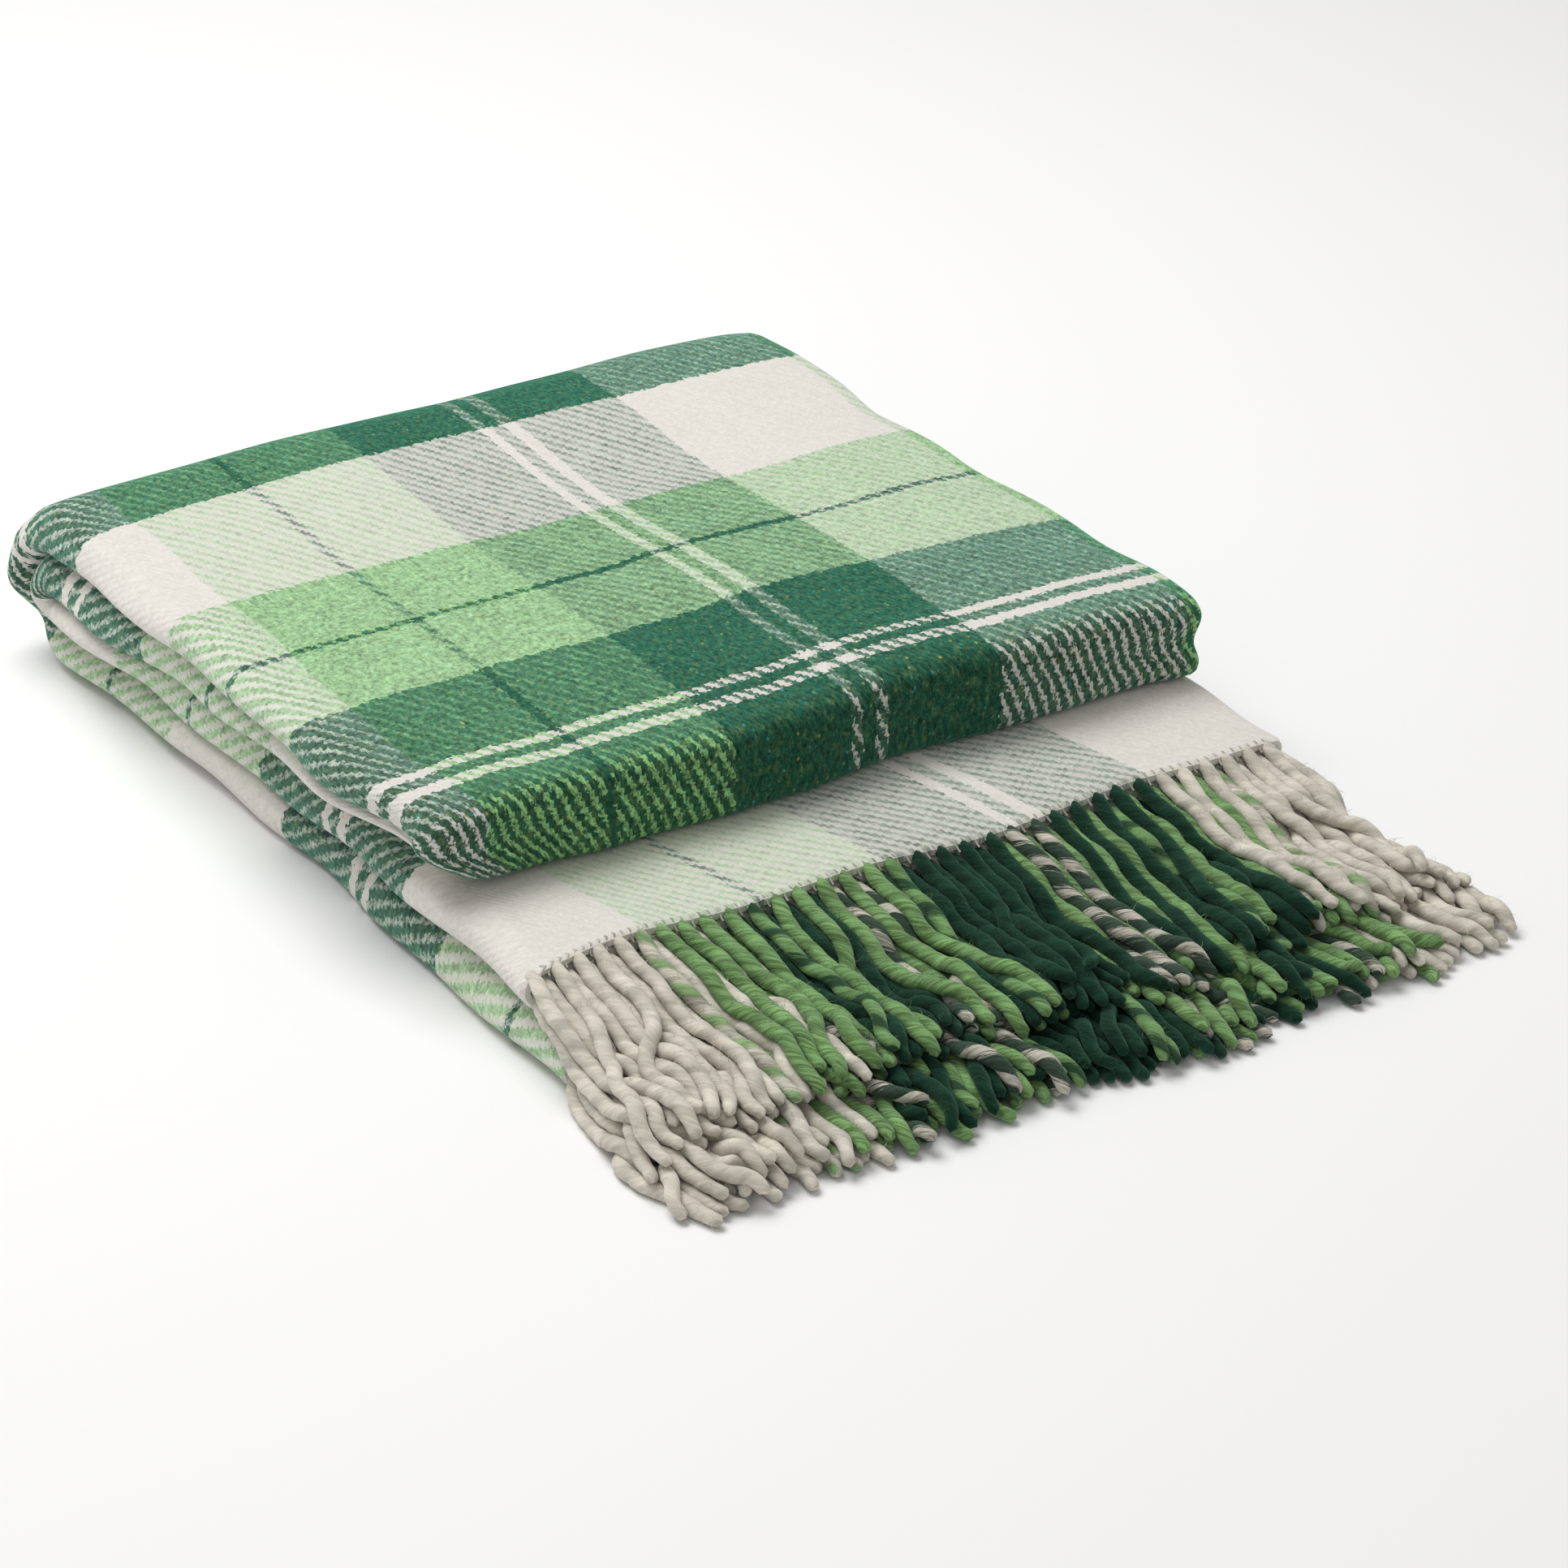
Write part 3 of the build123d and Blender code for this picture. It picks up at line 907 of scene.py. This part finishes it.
def cord(line, phase):
    """A two-strand twisted cord round a line: rings, their places within it in millimetres, and its faces."""
    length = np.concatenate([[0], np.cumsum(np.linalg.norm(np.diff(line, axis=0), axis=1))])
    n = int(length[-1] / (1.65 * coarse * MM))
    s = np.linspace(0, length[-1], n)
    centre = np.stack([np.interp(s, length, line[:, i]) for i in range(3)], -1)
    for _ in range(3):
        centre[1:-1] = (centre[:-2] + 2 * centre[1:-1] + centre[2:]) / 4
    angle = np.arange(TASSEL_SIDES) / TASSEL_SIDES * 2 * math.pi
    wind = phase + 2 * math.pi / TWIST_PITCH * s
    lobes = 0.91 + 0.09 * np.abs(np.cos(angle)) ** 0.8
    from_tip = (length[-1] - s) / TASSEL_RADIUS
    tip = np.sqrt(np.clip(1 - (1 - np.clip(from_tip / 0.8, 0, 1)) ** 2, 1e-4, 1))
    tapered = (1 - 0.22 * smoothstep(1 - from_tip / 5)) * (0.78 + 0.22 * rises(s, 0, 9))
    uneven = 1 + 0.03 * np.sin(s / (6.5 * MM) + phase * 5)
    girth = TASSEL_RADIUS * tip * tapered * uneven * rng.uniform(0.93, 1.04)
    ring = tube(centre, [0.0, 0.0, 1.0], angle[None, :] + wind[:, None], girth[:, None] * lobes[None, :])
    place = np.stack(np.broadcast_arrays(3 * np.cos(angle), 3 * np.sin(angle), s[:, None] / MM), -1)
    place[..., 2] += rng.uniform(0, 5000)
    return ring, place, grid_faces(n, TASSEL_SIDES, wrap=True)


def loose_fibres(rows, place):
    """Fine ribbons that stand out of a tassel. rows are the rings of its surface."""
    count = FIBRES_PER_TASSEL
    pick = rng.integers(2, len(rows) - 2, count)
    spoke = rng.integers(0, TASSEL_SIDES, count)
    root = rows[pick, spoke]
    outward = root - rows[pick].mean(axis=1)
    outward /= np.linalg.norm(outward, axis=1, keepdims=True)
    forward = rows[pick + 1].mean(axis=1) - rows[pick].mean(axis=1)
    forward /= np.linalg.norm(forward, axis=1, keepdims=True)
    across = np.cross(outward, forward)
    length = rng.uniform(2.0, 5.0, (count, 1)) * MM
    slant = forward * rng.normal(0.3, 0.9, (count, 1)) + across * rng.normal(0, 0.9, (count, 1))
    inside = root - outward * 0.3 * MM
    middle = root + length * (0.30 * outward + 0.25 * slant)
    tip = root + length * (0.48 * outward + 0.62 * slant)
    half = 0.08 * MM * (0.6 * across + 0.8 * forward)
    points = np.stack([inside - half, inside + half, middle - half, middle + half,
                       tip - 0.3 * half, tip + 0.3 * half], 1).reshape(-1, 3)
    points[:, 2] = np.maximum(points[:, 2], 0.2 * MM)
    points[:, 0] = np.clip(points[:, 0], left_side - 20 * MM, right_side + 20 * MM)
    first = np.arange(count)[:, None] * 6
    quads = np.concatenate([first + [0, 1, 3, 2], first + [2, 3, 5, 4]])
    return points, np.repeat(place[pick, spoke], 6, axis=0), quads


class Gathered:
    """Many small parts, to be made into one piece: their points, places and faces."""

    def __init__(self):
        self.points, self.places, self.faces = [], [], []
        self.start = 0

    def take(self, points, places, faces):
        self.points.append(points.reshape(-1, 3))
        self.places.append(places.reshape(-1, 3))
        self.faces.append(faces + self.start)
        self.start += len(self.points[-1])

    def piece(self, name, material, flipped=False):
        places = np.concatenate(self.places)
        faces = np.concatenate(self.faces)
        if flipped:
            faces = faces[:, ::-1]
        return new_piece(name, np.concatenate(self.points), faces, material, places[:, 1:], places)


def fringe_pieces(row, lines, colours):
    """One mesh for each yarn colour of a fringe."""
    made = []
    for colour in sorted(set(colours)):
        gathered = Gathered()
        for line in lines[[c == colour for c in colours]]:
            ring, place, quads = cord(line, rng.uniform(0, 2 * math.pi))
            gathered.take(ring, place, quads)
            gathered.take(*loose_fibres(ring, place))
        piece = gathered.piece(f"{row}_{colour}", YARNS[colour], flipped=True)
        nodes = [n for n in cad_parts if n.startswith(f"{row}_ply_") and n[len(row) + 7:] == colour]
        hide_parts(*nodes)
        made.append(piece)
    return made


lower_lines, lower_colours = fringe(0, lower_hem, face_on_top=False)
upper_lines, upper_colours = fringe(1, upper_hem, face_on_top=True)
hems = np.repeat([lower_hem, upper_hem], [len(lower_lines), len(upper_lines)])
laid = lay_tassels(np.concatenate([lower_lines, upper_lines]), hems)
lower_tassels = fringe_pieces("lower_fringe", laid[:len(lower_lines)], lower_colours)
upper_tassels = fringe_pieces("upper_fringe", laid[len(lower_lines):], upper_colours)


# ---- Hem stitching: short slanting stitches over the end of each ply ----

STITCH_SIDES, STITCH_RADIUS = 5, 0.5 * MM


def hem_stitches(name, panel, hem):
    """Small bent tubes, two or three to a tassel, from the face of each ply over its edge."""
    angle = np.arange(STITCH_SIDES) / STITCH_SIDES * 2 * math.pi
    bow = np.linspace(0, 1, 7)
    over_edge = np.cos(bow * math.pi * 0.62)
    down = np.cos((bow * 1.25 - 0.25).clip(0, 1) * math.pi * 0.8)
    gathered = Gathered()
    for ply in range(4):
        middle = panel_middles[panel] + (ply - 1.5) * ply_pitch
        for x in np.arange(left_side + 7 * MM, right_side - 7 * MM, tassel_pitch / 2.5):
            slant = rng.uniform(1.8, 3.2) * MM
            y = hem + 2.6 * MM * over_edge - 0.6 * MM
            z = middle + ply_thickness / 2 * 0.98 * down + 0.2 * MM
            route = settle(np.stack([x + slant * (bow - 0.5), y, z], -1))
            ring = tube(route, [0.3, 0.1, 1.0], angle[None, :], STITCH_RADIUS)
            ring[..., 2] = np.maximum(ring[..., 2], 0.1 * MM)
            along = bow[:, None] * 6 + rng.uniform(0, 5000)
            place = np.stack(np.broadcast_arrays(np.cos(angle), np.sin(angle), along), -1)
            gathered.take(ring, place, grid_faces(len(bow), STITCH_SIDES, wrap=True))
    piece = gathered.piece(name, stitch_thread)
    return piece


upper_stitches = hem_stitches("upper_hem_stitches", 1, upper_hem)
lower_stitches = hem_stitches("lower_hem_stitches", 0, lower_hem)

# ---- What each piece rides on and stands for ----

for piece, body, *nodes in (
    (bottom_cloth, "lower_stack", "bottom_panel"),
    (lower_cloth, "lower_stack", "lower_panel"),
    (upper_cloth, "upper_stack", "top_panel", "front_fold", "inner_panel"),
    (lower_stitches, "lower_stack", "lower_hem_thread"),
    (upper_stitches, "fringed_leaf", "upper_hem_thread"),
):
    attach(piece, body)
    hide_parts(*nodes)


def blend(piece, bodies, hinge, start, end):
    """Bake the piece's placement into its mesh. bodies, hinge, start and end are not used."""
    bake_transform(piece)


fold_reach = back_axis_height - panel_thickness
stacks = ("lower_stack", "upper_stack")
blend(outer_fold_cloth, stacks, "back_fold_hinge", [0, 0, -fold_reach], [0, 0, fold_reach])
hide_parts("outer_back_fold")
blend(inner_fold_cloth, stacks, "back_fold_hinge", [0, 0, -1 * MM], [0, 0, 1 * MM])
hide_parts("inner_back_fold")
blend(leaf_cloth, ("lower_stack", "fringed_leaf"), "leaf_hinge", [0, 12 * MM, 0], [0, -12 * MM, 0])
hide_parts("upper_leaf")
for piece in upper_tassels:
    blend(piece, ("fringed_leaf", "upper_fringe"), "upper_fringe_hinge", [0, 2 * MM, 0], [0, -26 * MM, 0])
for piece in lower_tassels:
    blend(piece, ("lower_stack", "lower_fringe"), "lower_fringe_hinge", [0, 2 * MM, 0], [0, -26 * MM, 0])


# ---- Floor, light and camera ----

bpy.ops.mesh.primitive_plane_add(size=12, location=(0, 0, 0))
floor = bpy.context.object
floor.name = "floor"
floor_paint = Tree("floor_paint")
floor_paint.shader.inputs["Base Color"].default_value = (0.86, 0.86, 0.86, 1)
floor_paint.shader.inputs["Roughness"].default_value = 0.9
floor.data.materials.append(floor_paint.material)


def area_light(name, place, size, power):
    """A soft lamp that shines on the origin."""
    lamp = bpy.data.lights.new(name, "AREA")
    lamp.shape = "RECTANGLE"
    lamp.size, lamp.size_y = size
    lamp.energy = power
    holder = bpy.data.objects.new(name, lamp)
    holder.location = place
    holder.rotation_euler = (-Vector(place)).to_track_quat("-Z", "Y").to_euler()
    bpy.context.scene.collection.objects.link(holder)


area_light("key", (-0.35, 0.75, 2.05), (1.6, 1.4), 43)
area_light("fill", (-1.2, -1.6, 1.3), (1.6, 1.6), 3)

world = bpy.data.worlds.new("studio")
world.use_nodes = True
sky = world.node_tree.nodes["Background"]
sky.inputs["Color"].default_value = (1.0, 0.985, 0.965, 1)
sky.inputs["Strength"].default_value = 0.42
bpy.context.scene.world = world
bpy.context.scene.view_settings.view_transform = "Standard"

CAMERA_AZIMUTH = math.radians(-32.66)
CAMERA_ELEVATION = math.radians(27.92)
CAMERA_DISTANCE = 1.7145
CAMERA_TARGET = Vector((-0.003, -0.060, 0.030))
back = Vector((
    math.sin(CAMERA_AZIMUTH) * math.cos(CAMERA_ELEVATION),
    -math.cos(CAMERA_AZIMUTH) * math.cos(CAMERA_ELEVATION),
    math.sin(CAMERA_ELEVATION),
))
camera_data = bpy.data.cameras.new("camera")
camera_data.lens = 102.5
camera = bpy.data.objects.new("camera", camera_data)
camera.location = CAMERA_TARGET + back * CAMERA_DISTANCE
camera.rotation_euler = back.to_track_quat("Z", "Y").to_euler()
bpy.context.scene.collection.objects.link(camera)
bpy.context.scene.camera = camera
